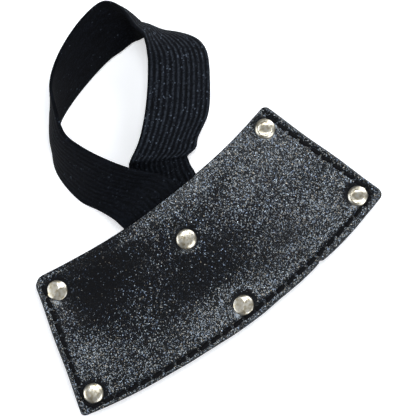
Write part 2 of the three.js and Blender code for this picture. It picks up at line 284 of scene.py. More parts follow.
def fleshSide():
    # The inner, flesh side of the hide, dyed through and left as cut: a dull felted nap.
    material, tree, shader = newMaterial("dyedFleshSide", "#111012", 0.95, Specular_IOR_Level=0.2)
    where = addNode(tree, "ShaderNodeTexCoord").outputs["Object"]
    napWidth = 0.9 * mm
    nap = addNode(tree, "ShaderNodeTexNoise", None,
            {"Vector": where, "Scale": 1 / napWidth, "Detail": 6.0, "Roughness": 0.7})
    napRamp = addNode(tree, "ShaderNodeValToRGB", None, {"Fac": nap.outputs["Fac"]})
    setStops(napRamp, [(0.3, "#0a0a0b"), (0.7, "#1d1c1f")])
    tree.links.new(napRamp.outputs["Color"], shader.inputs["Base Color"])
    bump = addNode(tree, "ShaderNodeBump", None,
            {"Height": nap.outputs["Fac"], "Strength": 0.7, "Distance": 0.2 * mm})
    tree.links.new(bump.outputs["Normal"], shader.inputs["Normal"])
    return material


def waxedThread():
    # Waxed three-ply polyester: near black and almost dull, with a fine fuzz on each ply.
    material, tree, shader = newMaterial("waxedPolyesterThread", "#08080a", 0.72, Specular_IOR_Level=0.12)
    where = addNode(tree, "ShaderNodeTexCoord").outputs["Object"]
    fuzzWidth = 0.35 * mm
    fuzz = addNode(tree, "ShaderNodeTexNoise", None,
            {"Vector": where, "Scale": 1 / fuzzWidth, "Detail": 3.0})
    waxRamp = addNode(tree, "ShaderNodeValToRGB", None, {"Fac": fuzz.outputs["Fac"]})
    setStops(waxRamp, [(0.35, "#030304"), (0.7, "#0b0b0d")])
    tree.links.new(waxRamp.outputs["Color"], shader.inputs["Base Color"])
    bump = addNode(tree, "ShaderNodeBump", None,
            {"Height": fuzz.outputs["Fac"], "Strength": 0.5, "Distance": 0.05 * mm})
    tree.links.new(bump.outputs["Normal"], shader.inputs["Normal"])
    return material


def nickelPlate():
    # Nickel-plated steel, set with a hammer: bright and faintly warm, with soft dents, and a haze
    # of fine scratches that spreads its highlights.
    material, tree, shader = newMaterial("hammeredNickelPlate", "#d9d3c6", 0.32, Metallic=1.0)
    where = addNode(tree, "ShaderNodeTexCoord").outputs["Object"]
    hazeWidth = 1.3 * mm
    dentWidth = 2.4 * mm
    haze = addNode(tree, "ShaderNodeTexNoise", None,
            {"Vector": where, "Scale": 1 / hazeWidth, "Detail": 4.0})
    hazeRamp = addNode(tree, "ShaderNodeMapRange", None,
            {"Value": haze.outputs["Fac"], "From Min": 0.3, "From Max": 0.7, "To Min": 0.29,
             "To Max": 0.36})
    tree.links.new(hazeRamp.outputs["Result"], shader.inputs["Roughness"])
    tarnish = addNode(tree, "ShaderNodeValToRGB", None, {"Fac": haze.outputs["Fac"]})
    setStops(tarnish, [(0.3, "#beb08f"), (0.55, "#dcd5c3"), (0.8, "#d5d4d0")])
    tree.links.new(tarnish.outputs["Color"], shader.inputs["Base Color"])
    dents = addNode(tree, "ShaderNodeTexNoise", None,
            {"Vector": where, "Scale": 1 / dentWidth, "Detail": 1.0})
    bump = addNode(tree, "ShaderNodeBump", None,
            {"Height": dents.outputs["Fac"], "Strength": 0.3, "Distance": 0.05 * mm})
    tree.links.new(bump.outputs["Normal"], shader.inputs["Normal"])
    return material


def wovenElastic():
    # Woven rubber-cored elastic in textured polyester: dull black ribs, a fine cross weave and a
    # few stray bright fibres. U runs across the band and V along it, both in millimetres.
    material, tree, shader = newMaterial("wovenPolyesterElastic", "#07080b", 0.85,
            Specular_IOR_Level=0.08)
    along = addNode(tree, "ShaderNodeUVMap", {"uv_map": "band"}).outputs["UV"]
    pickWidth = 0.55           # one weft pick, drawn at about twice its real width so that it shows
    ribPitch = 2.5
    outerFaceEnd = 30.0        # U runs over the outer face up to here, and then back over the inner one
    legStart, legFull = 140.0, 165.0    # along the band: where the painted sheen on the back leg starts to show
    foldStart, foldEnd = 218.0, 225.0   # and where the fold ends it
    sparkShare = 0.018          # of the picks, painted as bright sparkle specks on the back leg
    picks = addNode(tree, "ShaderNodeMapping", None,
            {"Vector": along, "Scale": (0.9 / pickWidth, 1 / pickWidth, 1)})
    weave = addNode(tree, "ShaderNodeTexVoronoi", {"feature": "F1"},
            {"Vector": picks.outputs["Vector"], "Scale": 1.0, "Randomness": 0.55})
    stretched = addNode(tree, "ShaderNodeMapping", None, {"Vector": along, "Scale": (1.2, 0.14, 1)})
    streaks = addNode(tree, "ShaderNodeTexNoise", None,
            {"Vector": stretched.outputs["Vector"], "Scale": 1.0, "Detail": 3.0})
    fibres = addNode(tree, "ShaderNodeSeparateColor", None, {"Color": weave.outputs["Color"]})
    fibreRamp = addNode(tree, "ShaderNodeValToRGB", None, {"Fac": fibres.outputs["Red"]})
    setStops(fibreRamp, [(0.0, "#05070a"), (0.6, "#0a0d12"), (0.99, "#12151c"), (1.0, "#3d434c")])
    streakRamp = addNode(tree, "ShaderNodeValToRGB", None, {"Fac": streaks.outputs["Fac"]})
    setStops(streakRamp, [(0.3, "#8c8c90"), (0.7, "#ffffff")])
    yarn = addNode(tree, "ShaderNodeMix", {"data_type": "RGBA", "blend_type": "MULTIPLY"},
            {"Factor": 1.0})
    tree.links.new(fibreRamp.outputs["Color"], yarn.inputs[6])
    tree.links.new(streakRamp.outputs["Color"], yarn.inputs[7])
    # painted highlight: the rib crests on the outer face are painted lighter, most along the back leg,
    # which also gets painted sparkle specks
    spot = addNode(tree, "ShaderNodeSeparateXYZ", None, {"Vector": along})
    swing = addNode(tree, "ShaderNodeMath", {"operation": "MULTIPLY"},
            {0: spot.outputs["X"], 1: math.pi / ribPitch})
    crest = addNode(tree, "ShaderNodeMath", {"operation": "SINE"}, {0: swing.outputs["Value"]})
    crestUp = addNode(tree, "ShaderNodeMath", {"operation": "ABSOLUTE"}, {0: crest.outputs["Value"]})
    crestAmount = addNode(tree, "ShaderNodeMath", {"operation": "POWER"},
            {0: crestUp.outputs["Value"], 1: 4.0})
    outerOnly = addNode(tree, "ShaderNodeMath", {"operation": "LESS_THAN"},
            {0: spot.outputs["X"], 1: outerFaceEnd})
    backLeg = addNode(tree, "ShaderNodeMapRange", {"interpolation_type": "SMOOTHSTEP"},
            {"Value": spot.outputs["Y"], "From Min": legStart, "From Max": legFull, "To Min": 0.1,
             "To Max": 1.0})
    belowFold = addNode(tree, "ShaderNodeMapRange", {"interpolation_type": "SMOOTHSTEP"},
            {"Value": spot.outputs["Y"], "From Min": foldStart, "From Max": foldEnd, "To Min": 1.0,
             "To Max": 0.5})
    onLeg = addNode(tree, "ShaderNodeMath", {"operation": "MULTIPLY"},
            {0: backLeg.outputs["Result"], 1: belowFold.outputs["Result"]})
    paintedSheen = addNode(tree, "ShaderNodeMath", {"operation": "MULTIPLY"},
            {0: outerOnly.outputs["Value"], 1: onLeg.outputs["Value"]})
    crestHighlight = addNode(tree, "ShaderNodeMath", {"operation": "MULTIPLY"},
            {0: paintedSheen.outputs["Value"], 1: crestAmount.outputs["Value"]})
    stipple = addNode(tree, "ShaderNodeMapRange", None,
            {"Value": fibres.outputs["Blue"], "To Min": 0.05, "To Max": 0.85})
    crestFlecked = addNode(tree, "ShaderNodeMath", {"operation": "MULTIPLY"},
            {0: crestHighlight.outputs["Value"], 1: stipple.outputs["Result"]})
    crestLitYarn = addNode(tree, "ShaderNodeMix", {"data_type": "RGBA"},
            {"Factor": crestFlecked.outputs["Value"]})
    tree.links.new(yarn.outputs[2], crestLitYarn.inputs[6])
    # the painted highlight colour of the rib crests
    crestLitYarn.inputs[7].default_value = linear("#343940")
    # painted sparkle: a few picks on the back leg turned into bright specks standing in for glints
    sparkCells = addNode(tree, "ShaderNodeMath", {"operation": "GREATER_THAN"},
            {0: fibres.outputs["Green"], 1: 1 - sparkShare})
    sparkShown = addNode(tree, "ShaderNodeMath", {"operation": "MULTIPLY"},
            {0: sparkCells.outputs["Value"], 1: paintedSheen.outputs["Value"]})
    sparkYarn = addNode(tree, "ShaderNodeMix", {"data_type": "RGBA"},
            {"Factor": sparkShown.outputs["Value"]})
    tree.links.new(crestLitYarn.outputs[2], sparkYarn.inputs[6])
    sparkYarn.inputs[7].default_value = linear("#464d57")
    tree.links.new(sparkYarn.outputs[2], shader.inputs["Base Color"])
    bump = addNode(tree, "ShaderNodeBump", None,
            {"Height": weave.outputs["Distance"], "Strength": 0.6, "Distance": 0.18 * mm})
    tree.links.new(bump.outputs["Normal"], shader.inputs["Normal"])
    return material


leatherSkin = coatedCowhide()
leatherEdge = burnishedEdge()
leatherFlesh = fleshSide()
threadWax = waxedThread()
nickel = nickelPlate()
elasticWeave = wovenElastic()
print("materials ready")


# the outline that the panels and the welt share: a sector of a ring, in millimetres
outline = {
    "depth": 65.7, "mouthRadius": 307, "halfMouth": 63.4, "edgeRadius": 327, "halfEdge": 82.4,
    "meanWidth": 146, "meanDepth": 66,      # these two only share out the grid's steps
    "cornerRounds": {"mouthLeft": 4.4, "mouthRight": 2.2, "edgeRight": 3.4, "edgeLeft": 2.6},
    # how far the hand-cut edge strays from the true arc, by X, outwards
    "edgeStrayAt": [
        -78, -72, -60, -50, -39, -30, -22, -14, -8, 0, 9,
        18, 30, 38, 41, 41.8, 43, 48, 54, 62, 70, 78,
    ],
    "edgeStray": [
        -0.8, -0.65, -0.6, -0.65, -0.8, -0.6, -0.6, -0.35, 0, 0.2, 0.3,
        0, 0.3, 0.1, -0.2, -0.9, 0.2, 0.6, 0.75, 0.75, 0.5, 0.44,
    ],
    "edgeReach": 2.6,          # how far in from the cut edge the knife's wander still shows
    "sideWander": 0.16, "sideWave": 5.3, "mouthWander": 0.15, "mouthWave": 9.0, "wanderReach": 2.5,
}
mouthCentre = outline["depth"] / 2 + outline["mouthRadius"]
edgeCentre = outline["edgeRadius"] - outline["depth"] / 2
mouthAngle = math.asin(outline["halfMouth"] / outline["mouthRadius"])
edgeAngle = math.asin(outline["halfEdge"] / outline["edgeRadius"])
mouthCornerY = mouthCentre - outline["mouthRadius"] * math.cos(mouthAngle)
edgeCornerY = edgeCentre - outline["edgeRadius"] * math.cos(edgeAngle)
sideRun = Vector((outline["halfEdge"] - outline["halfMouth"], edgeCornerY - mouthCornerY)).normalized()
sideNormal = Vector((-sideRun.y, sideRun.x))


def edgeDistances(x, y):
    # distance inside each of the sides, the mouth and the convex edge
    side = -((np.abs(x) - outline["halfMouth"]) * sideNormal.x + (y - mouthCornerY) * sideNormal.y)
    mouth = np.hypot(x, y - mouthCentre) - outline["mouthRadius"]
    edge = outline["edgeRadius"] - np.hypot(x, y - edgeCentre)
    return side, mouth, edge


def roundCorners(x, y):
    side, mouth, edge = edgeDistances(x, y)
    for corner, radius in outline["cornerRounds"].items():
        right = 1 if "Right" in corner else -1
        other = mouth if "mouth" in corner else edge
        p = np.clip(radius - side, 0, radius)
        q = np.clip(radius - other, 0, radius)
        near = (p > 0) & (q > 0) & (x * right > 0)
        shrink = np.where(near, 1 - np.maximum(p, q) / np.maximum(np.hypot(p, q), 1e-9), 0)
        if "mouth" in corner:
            otherNormal = (-right * math.sin(mouthAngle), math.cos(mouthAngle))
        else:
            otherNormal = (right * math.sin(edgeAngle), -math.cos(edgeAngle))
        x = x - shrink * (p * right * sideNormal.x + q * otherNormal[0])
        y = y - shrink * (p * sideNormal.y + q * otherNormal[1])
    return x, y


def handCut(x, y, amount=1.0):
    # the knife's wander along the three seams and the mouth, dying away inside the cover
    side, mouth, edge = edgeDistances(x, y)
    stray = np.interp(x, outline["edgeStrayAt"], outline["edgeStray"])
    stray = stray * lump(np.maximum(edge, 0), outline["edgeReach"])
    fromCentre = np.hypot(x, y - edgeCentre)
    cutX = x + amount * stray * x / fromCentre
    cutY = y + amount * stray * (y - edgeCentre) / fromCentre
    sideFade = lump(np.maximum(side, 0), outline["wanderReach"])
    mouthFade = lump(np.maximum(mouth, 0), outline["wanderReach"])
    sideWave = np.sin(y / outline["sideWave"] + np.sign(x) * 1.1)
    cutX += amount * outline["sideWander"] * sideWave * sideFade * np.sign(x)
    cutY += amount * outline["mouthWander"] * np.sin(x / outline["mouthWave"] + 0.6) * mouthFade
    return cutX, cutY


def stepPlaces(span, endZone, fine, coarse):
    # places from 0 to 1 along a span, with fine steps in a zone at both ends
    ends = [fine] * round(endZone / fine)
    middle = [coarse] * round((span - 2 * endZone) / coarse)
    places = np.concatenate([[0], np.cumsum(ends + middle + ends)])
    return places / places[-1]


def sectorGrid(acrossPlaces, alongPlaces):
    # a grid laid over the outline, and extruded: returns the bmesh, x, y, and which verts are outer
    bm = bmesh.new()
    columns, rows = len(acrossPlaces) - 1, len(alongPlaces) - 1
    bmesh.ops.create_grid(bm, x_segments=columns, y_segments=rows, size=1)
    moved = bmesh.ops.extrude_face_region(bm, geom=bm.faces[:])
    bmesh.ops.translate(bm, vec=(0, 0, 1),
            verts=[g for g in moved["geom"] if isinstance(g, bmesh.types.BMVert)])
    start = positions(bm)
    across = 2 * np.interp((start[:, 0] + 1) / 2 * columns, range(columns + 1), acrossPlaces) - 1
    along = np.interp((start[:, 1] + 1) / 2 * rows, range(rows + 1), alongPlaces)
    mouthX = outline["mouthRadius"] * np.sin(across * mouthAngle)
    mouthY = mouthCentre - outline["mouthRadius"] * np.cos(across * mouthAngle)
    edgeX = outline["edgeRadius"] * np.sin(across * edgeAngle)
    edgeY = edgeCentre - outline["edgeRadius"] * np.cos(across * edgeAngle)
    x = edgeX + (mouthX - edgeX) * along
    y = edgeY + (mouthY - edgeY) * along
    return bm, x, y, start[:, 2] > 0.5


frontBulge = {"height": 4.2, "halfWidth": 60, "startY": -20, "fullY": 32}


def bulge(x, y, height=frontBulge["height"]):
    # the front stands off the blade most at the middle of the mouth
    across = np.maximum(0, 1 - (x / frontBulge["halfWidth"]) ** 2) ** 2
    return height * across * smoothstep(y, frontBulge["startY"], frontBulge["fullY"])


stitches = {"inset": 3.2, "pitch": 6.0}
rivetPlaces = {
    "mouth_right": (57.6, 31.2), "mouth_left": (-57.6, 29.4), "edge_right": (72.3, -16.7),
    "edge_left": (-72.1, -16.0), "edge_middle": (3.6, -24.8),
}
centreRivet = (1.0, 13.6)


def sideMeets(inset, centreY, radius):
    # where the right side, moved in by the inset, crosses an arc round (0, centreY)
    start = Vector((outline["halfMouth"], mouthCornerY)) - sideNormal * inset
    away = start - Vector((0, centreY))
    b = away.dot(sideRun)
    return start + sideRun * (-b + math.sqrt(max(b * b - away.length_squared + radius ** 2, 0)))


def seamLine(inset):
    # points down the left side, round the convex edge and up the right side, one to each stitch hole
    top = sideMeets(inset, mouthCentre, outline["mouthRadius"] + inset)
    bottom = sideMeets(inset, edgeCentre, outline["edgeRadius"] - inset)
    turn = math.atan2(bottom.x, edgeCentre - bottom.y)
    radius = outline["edgeRadius"] - inset
    angles = np.linspace(-turn, turn, 200)
    arc = np.stack([radius * np.sin(angles), edgeCentre - radius * np.cos(angles)], 1)
    points = np.vstack([[-top.x, top.y], arc, [top.x, top.y]])
    lengths = np.concatenate([[0], np.cumsum(np.linalg.norm(np.diff(points, axis=0), axis=1))])
    count = round(lengths[-1] / stitches["pitch"]) + 1
    wanted = np.linspace(0, lengths[-1], count)
    return np.stack([np.interp(wanted, lengths, points[:, i]) for i in (0, 1)], 1)


stitchHoles = seamLine(stitches["inset"])
print("seam has", len(stitchHoles), "stitch holes")


# how the outer skin rises and sinks, in millimetres: each height or depth with its place and width
relief = {
    "edgeRound": 0.5, "edgeDrop": 0.4,
    "groove": 0.1, "grooveWidth": 0.7,
    "margin": 0.2, "marginAt": -2.5, "marginWidth": 1.1,    # the margin outside the thread flares up
    "puff": 0.07, "puffAt": 2.2, "puffWidth": 1.2,          # and the leather puffs up inside it
    "hole": 0.32, "holeRadius": 0.5, "holeReach": 2.5,
    "rivetDip": 0.32, "centreDip": 0.5, "dipRadius": 5.6,
    "ring": 0.08, "ringAt": 7.2, "ringWidth": 1.2,
    "waveSize": 21, "rippleSize": 8, "rippleShare": 0.35,
}


def seamRelief(x, y):
    # how far the outer skin lies below the flat: rounded edges, stitch groove, holes, rivet dips
    side, mouth, edge = edgeDistances(x, y)
    seam = np.minimum(side, edge)
    rim = np.minimum(seam, mouth)
    inside = np.clip(1 - rim / relief["edgeRound"], 0, 1)
    drop = relief["edgeDrop"] * (1 - np.sqrt(1 - inside ** 2))
    fromStitch = seam - stitches["inset"]
    drop += relief["groove"] * lump(fromStitch, relief["grooveWidth"])
    drop -= relief["margin"] * lump(fromStitch - relief["marginAt"], relief["marginWidth"])
    drop -= relief["puff"] * lump(fromStitch - relief["puffAt"], relief["puffWidth"])
    for holeX, holeY in stitchHoles:
        near = (np.abs(x - holeX) < relief["holeReach"]) & (np.abs(y - holeY) < relief["holeReach"])
        away = np.hypot(x[near] - holeX, y[near] - holeY)
        drop[near] += relief["hole"] * lump(away, relief["holeRadius"])
    for rivetX, rivetY in list(rivetPlaces.values()) + [centreRivet]:
        away = np.hypot(x - rivetX, y - rivetY)
        dip = relief["centreDip"] if rivetX == centreRivet[0] else relief["rivetDip"]
        drop += dip * np.exp(-(away / relief["dipRadius"]) ** 4)
        drop -= relief["ring"] * lump(away - relief["ringAt"], relief["ringWidth"])
    return drop, rim


sheetGrid = {"fineAtSides": 6.0, "fineAtEdges": 5.6}    # how far in the fine steps reach
# how much of the grain shows, and how much each place takes away as painted shade (groove, rivet rings, and
# a thin darker line at the rim) and adds as painted light (margin), with its place and width
grainAndShade = {
    "base": 0.86, "groove": 0.15, "grooveWidth": 0.45, "margin": 0.14, "marginAt": -1.9, "marginWidth": 1.2,
    "rim": 0.8, "rimWidth": 0.3, "rivet": 0.8, "rivetAt": 4.9, "rivetWidth": 0.8,
}


def leatherSheet(name, settings, replaced):
    fine, coarse = settings["fineStep"], settings["coarseStep"]
    acrossPlaces = stepPlaces(outline["meanWidth"], sheetGrid["fineAtSides"], fine, coarse)
    alongPlaces = stepPlaces(outline["meanDepth"], sheetGrid["fineAtEdges"], fine, coarse)
    bm, x, y, isUpper = sectorGrid(acrossPlaces, alongPlaces)
    rawX, rawY = x.copy(), y.copy()
    x, y = roundCorners(x, y)
    x, y = handCut(x, y, settings["cutAmount"])
    drop, rim = seamRelief(rawX, rawY)
    waviness, seed = settings["waviness"], settings["seed"]
    sag = waviness * softNoise(rawX, rawY, seed, relief["waveSize"])
    sag += relief["rippleShare"] * waviness * softNoise(rawX, rawY, seed + 7, relief["rippleSize"])
    for swellX, swellY, width, length, height in settings["swells"]:
        sag += height * lump(rawX - swellX, width) * lump(rawY - swellY, length)
    sag *= smoothstep(rim, 0.5, 6)
    rise = bulge(rawX, rawY, settings["bulge"])
    isOuter = isUpper if settings["facesUp"] else ~isUpper
    outward = 1 if settings["facesUp"] else -1
    z = np.where(isOuter, settings["outerFace"] + outward * (sag - drop), settings["innerFace"]) + rise
    place(bm, np.stack([x, y, z], 1))
    # how much of the grain shows, with painted shade and light: painted shade in the stitch groove, a thin
    # darker line at the rim, a ring of painted shadow round the rivets and painted light on the margin
    # outside the thread
    side, _, edge = edgeDistances(rawX, rawY)
    seam = np.minimum(side, edge) - stitches["inset"]
    # painted shade in the stitch groove
    shadeValue = grainAndShade["base"] - grainAndShade["groove"] * lump(seam, grainAndShade["grooveWidth"])
    # painted light on the margin outside the thread
    shadeValue += grainAndShade["margin"] * lump(seam - grainAndShade["marginAt"], grainAndShade["marginWidth"])
    shadeValue -= grainAndShade["rim"] * lump(np.maximum(rim, 0), grainAndShade["rimWidth"])
    # a ring of painted shadow round each rivet
    for rivetX, rivetY in list(rivetPlaces.values()) + [centreRivet]:
        away = np.hypot(rawX - rivetX, rawY - rivetY)
        shadeValue -= grainAndShade["rivet"] * lump(away - grainAndShade["rivetAt"], grainAndShade["rivetWidth"])
    inField = smoothstep(seam, -1.6, 1.5)     # the margin outside the thread keeps its grain
    # painted shade and painted light patches on the grain
    for patchX, patchY, width, length, amount in settings["paintedShadePatches"]:
        shadeValue -= amount * inField * lump(rawX - patchX, width) * lump(rawY - patchY, length)
    shade = bm.verts.layers.float.new("grainAndPaintedShade")
    for vert, value in zip(bm.verts, np.clip(shadeValue, 0.0, 1.0)):
        vert[shade] = value
    # slot 0 is the skin, 1 the cut edge, 2 the flesh side
    upFlags = [bool(flag) for flag in isOuter]
    bm.verts.index_update()
    for face in bm.faces:
        outerCount = sum(upFlags[v.index] for v in face.verts)
        face.material_index = {4: 0, 0: 2}.get(outerCount, 1)
    bmesh.ops.recalc_face_normals(bm, faces=bm.faces)
    piece = finish(bm, name, [leatherSkin, leatherEdge, leatherFlesh], "sheath")
    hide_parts(replaced)
    return piece


frontPanel = {
    "outerFace": 8.4, "innerFace": 6.0, "facesUp": True, "bulge": frontBulge["height"],
    "fineStep": 0.26, "coarseStep": 0.72, "cutAmount": 1.0, "waviness": 0.2, "seed": 3.0,
    # painted shade (above 0) and painted light (below 0) on the grain: x, y, width, length, amount
    "paintedShadePatches": [
        (-45, 17, 19, 12, 0.7), (0, -2, 14, 10, 0.3), (-30, 28, 18, 8, 0.4), (31, 26, 13, 9, 0.25),
        (36, -12, 15, 10, 0.58), (-25, 5, 12, 9, -0.05), (-25, -20, 14, 8, 0.3), (12, -19, 20, 8, 0.4),
        (66, -12, 12, 10, 0.45), (-62, -8, 10, 14, 0.26), (52, 20, 14, 10, -0.4), (60, 4, 12, 12, -0.3),
        (5, 24, 10, 6, -0.3),
    ],
    # low swells (above 0) and hollows (below 0) of the outer face: x, y, width, length, height
    "swells": [
        (-56, 2, 14, 12, -0.8), (-30, 30, 18, 10, 0.9), (2, -12, 28, 9, -0.55), (4, 25, 20, 8, 0.5),
        (31, 20, 13, 8, -0.4), (23, -14, 12, 8, 0.32), (58, 12, 14, 12, 0.35),
    ],
}
backPanel = {
    "outerFace": 0.0, "innerFace": 2.4, "facesUp": False, "bulge": 0.0, "fineStep": 0.3, "coarseStep": 0.9,
    "cutAmount": 0.8, "waviness": 0.2, "seed": 11.0,
    # painted shade and painted light patches on the back face
    "paintedShadePatches": [(20, 5, 25, 14, 0.5), (-40, -10, 18, 12, 0.4)],
    "swells": [(-30, 10, 20, 12, 0.3), (35, -5, 18, 12, -0.25)],
}
leatherSheet("front_leather", frontPanel, "front_panel")
leatherSheet("back_leather", backPanel, "back_panel")
print("panels done")


# the strip between the panels, which keeps the blade off the stitches
weltStrip = {
    "low": 2.42, "high": 5.98, "width": 12.5, "edgeRound": 0.7, "edgeDrop": 0.35, "cutAmount": 0.9,
    "steps": 420, "acrossSteps": 14,
}

weltBm = bmesh.new()
bmesh.ops.create_grid(weltBm, x_segments=weltStrip["steps"], y_segments=weltStrip["acrossSteps"], size=1)
moved = bmesh.ops.extrude_face_region(weltBm, geom=weltBm.faces[:])
bmesh.ops.translate(weltBm, vec=(0, 0, 1),
        verts=[g for g in moved["geom"] if isinstance(g, bmesh.types.BMVert)])
start = positions(weltBm)
along = np.clip((start[:, 0] + 1) / 2, 0, 1)
inward = ((start[:, 1] + 1) / 2) ** 1.7   # closer steps by the cut edge
isTop = start[:, 2] > 0.5


def seamPath(t, inset):
    # t from 0 to 1: down the left side from the mouth, round the convex edge, up the right side
    radius = outline["edgeRadius"] - inset
    top = sideMeets(inset, mouthCentre, outline["mouthRadius"])
    bottom = sideMeets(inset, edgeCentre, radius)
    turn = math.atan2(bottom.x, edgeCentre - bottom.y)
    sideShare = 0.21
    left = t / sideShare
    middle = (t - sideShare) / (1 - 2 * sideShare)
    right = (t - 1 + sideShare) / sideShare
    angle = -turn + 2 * turn * np.clip(middle, 0, 1)
    x = radius * np.sin(angle)
    y = edgeCentre - radius * np.cos(angle)
    onLeft, onRight = t < sideShare, t > 1 - sideShare
    x = np.where(onLeft, -top.x + (-bottom.x + top.x) * left, x)
    y = np.where(onLeft, top.y + (bottom.y - top.y) * left, y)
    x = np.where(onRight, bottom.x + (top.x - bottom.x) * right, x)
    y = np.where(onRight, bottom.y + (top.y - bottom.y) * right, y)
    return x, y


outX, outY = seamPath(along, 0.0)
inX, inY = seamPath(along, weltStrip["width"])
weltX = outX + (inX - outX) * inward
weltY = outY + (inY - outY) * inward
fromCut = inward * weltStrip["width"]
weltMiddle = (weltStrip["low"] + weltStrip["high"]) / 2
halfThick = (weltStrip["high"] - weltStrip["low"]) / 2
bite = np.clip(1 - fromCut / weltStrip["edgeRound"], 0, 1)
halfHere = halfThick - weltStrip["edgeDrop"] * (1 - np.sqrt(1 - bite ** 2))
weltX, weltY = roundCorners(weltX, weltY)
weltX, weltY = handCut(weltX, weltY, weltStrip["cutAmount"])
place(weltBm, np.stack([weltX, weltY, weltMiddle + np.where(isTop, halfHere, -halfHere)], 1))
bmesh.ops.recalc_face_normals(weltBm, faces=weltBm.faces)
welt = finish(weltBm, "welt_strip", [leatherEdge], "sheath")
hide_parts("welt")
print("welt done")


thread = {
    "width": 1.6, "height": 1.0, "slant": 0.6, "plies": 3, "plyBulge": 0.13, "twistLength": 3.6,
    "dip": 1.2, "seat": 0.16, "stepsPerStitch": 18, "around": 15,
}


def stitchRun(name, surface, outward, replaced):
    count = len(stitchHoles) - 1
    rows, columns = count * thread["stepsPerStitch"], thread["around"]
    bm = bmesh.new()
    bmesh.ops.create_grid(bm, x_segments=columns, y_segments=rows, size=0.5)
    start = positions(bm)
    angle = (start[:, 0] + 0.5) * 2 * math.pi
    t = np.clip((start[:, 1] + 0.5) * count, 0, count)
    first = np.minimum(t.astype(int), count - 1)
    part = t - first
    runs = stitchHoles[1:] - stitchHoles[:-1]
    x = stitchHoles[first, 0] + runs[first, 0] * part
    y = stitchHoles[first, 1] + runs[first, 1] * part
    unit = runs[first] / np.linalg.norm(runs[first], axis=1)[:, None]
    # the stitch lies flat in its groove and dives into a hole at each end
    fromEnd = np.minimum(part, 1 - part) * stitches["pitch"]
    lie = smoothstep(fromEnd, 0.1, 1.0)
    lift = -thread["dip"] + (thread["dip"] + thread["seat"]) * lie
    swell = 0.62 + 0.38 * smoothstep(fromEnd, 0.1, 1.5)
    length = t * stitches["pitch"]
    twist = math.pi * thread["plies"] * length / thread["twistLength"] / 3
    ply = 1 + thread["plyBulge"] * np.abs(np.cos(thread["plies"] / 2 * angle + twist))
    acrossOffset = thread["width"] / 2 * np.cos(angle) * ply * swell
    acrossOffset += outward * thread["slant"] * (part - 0.5) * lie
    upOffset = thread["height"] / 2 * np.sin(angle) * ply * swell
    z = surface + outward * (lift + upOffset)
    x = x - unit[:, 1] * acrossOffset
    y = y + unit[:, 0] * acrossOffset
    place(bm, np.stack([x, y, z], 1))
    bmesh.ops.remove_doubles(bm, verts=bm.verts, dist=0.0005)
    rims = [e for e in bm.edges if e.is_boundary]
    bmesh.ops.holes_fill(bm, edges=rims, sides=0)
    bmesh.ops.recalc_face_normals(bm, faces=bm.faces)
    piece = finish(bm, name, [threadWax], "sheath")
    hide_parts(replaced)
    return piece


stitchRun("front_stitching", frontPanel["outerFace"], 1, "front_thread")
stitchRun("back_stitching", backPanel["outerFace"], -1, "back_thread")
print("stitching done")


rivet = {
    "capRadius": 4.5, "capHeight": 1.45, "capSink": 0.3,     # the caps are pulled down into the leather
    "socketRadius": 1.6, "socketDepth": 0.5,
    "dish": 0.16, "dishShare": 0.68, "dishLean": 0.13,       # the punch mark on the right-hand caps
    "backHeight": 1.4, "backSink": 0.15, "postRadius": 1.3, "postPast": 0.3, "tipBevel": 0.2,
    "innerHeadRadius": 3.6, "innerHeadHeight": 0.6, "centreSink": 0.25, "centrePostLength": 5.0,
    "centreHeadAt": -2.1, "steps": 72,
}


def spun(profile):
    # a closed solid turned about Z from a profile of (radius, height) that starts and ends on the axis
    bm = bmesh.new()
    verts = [bm.verts.new((r, 0, z)) for r, z in profile]
    edges = [bm.edges.new(pair) for pair in zip(verts, verts[1:])]
    bmesh.ops.spin(bm, geom=verts + edges, cent=(0, 0, 0), axis=(0, 0, 1), angle=2 * math.pi,
            steps=rivet["steps"], use_merge=True)
    bmesh.ops.remove_doubles(bm, verts=bm.verts, dist=0.0005)
    bmesh.ops.recalc_face_normals(bm, faces=bm.faces)
    return bm


def domeProfile(radius, height, crown=3.0):
    # from the middle of the top, over the round shoulder, to the underside: a higher crown is flatter
    turns = np.linspace(0, math.pi / 2, 26)
    reach = np.sin(turns)
    points = [(radius * r, height * (0.2 + 0.8 * (1 - r ** crown) ** 0.53)) for r in reach]
    points += [(radius * 0.99, 0.05 * height), (radius * 0.93, 0.0)]
    return points


def pressDish(bm):
    # a round punch mark in the top, leaning a little back
    for vert in bm.verts:
        if vert.co.z > 0.5 * rivet["capHeight"]:
            away = math.hypot(vert.co.x, vert.co.y) / (rivet["dishShare"] * rivet["capRadius"])
            share = max(0, 1 - away ** 4)
            vert.co.z -= share * (rivet["dish"] - rivet["dishLean"] * (vert.co.x + vert.co.y))


def hammer(bm, facets, height):
    # flat facets struck into the dome: each leans along X and Y by its slopes, at a share of the height
    for slopeX, slopeY, level in facets:
        normal = Vector((-slopeX, -slopeY, 1)).normalized()
        for vert in bm.verts:
            above = vert.co.dot(normal) - level * height
            if above > 0:
                vert.co -= normal * above * 0.8
    if facets:
        crown = [v for v in bm.verts if v.co.z > height * 0.7]
        bmesh.ops.smooth_vert(bm, verts=crown, factor=0.5, use_axis_x=True, use_axis_y=True,
                use_axis_z=True)


def capPiece(name, facets, transform, replaced):
    socket = [(rivet["socketRadius"], 0.0), (rivet["socketRadius"], rivet["socketDepth"]),
            (0, rivet["socketDepth"])]
    bm = spun(domeProfile(rivet["capRadius"], rivet["capHeight"]) + socket)
    if "right" in name:
        pressDish(bm)
    hammer(bm, facets, rivet["capHeight"])
    bmesh.ops.transform(bm, matrix=transform, verts=bm.verts)
    piece = finish(bm, name, [nickel], "sheath")
    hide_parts(replaced)
    return piece


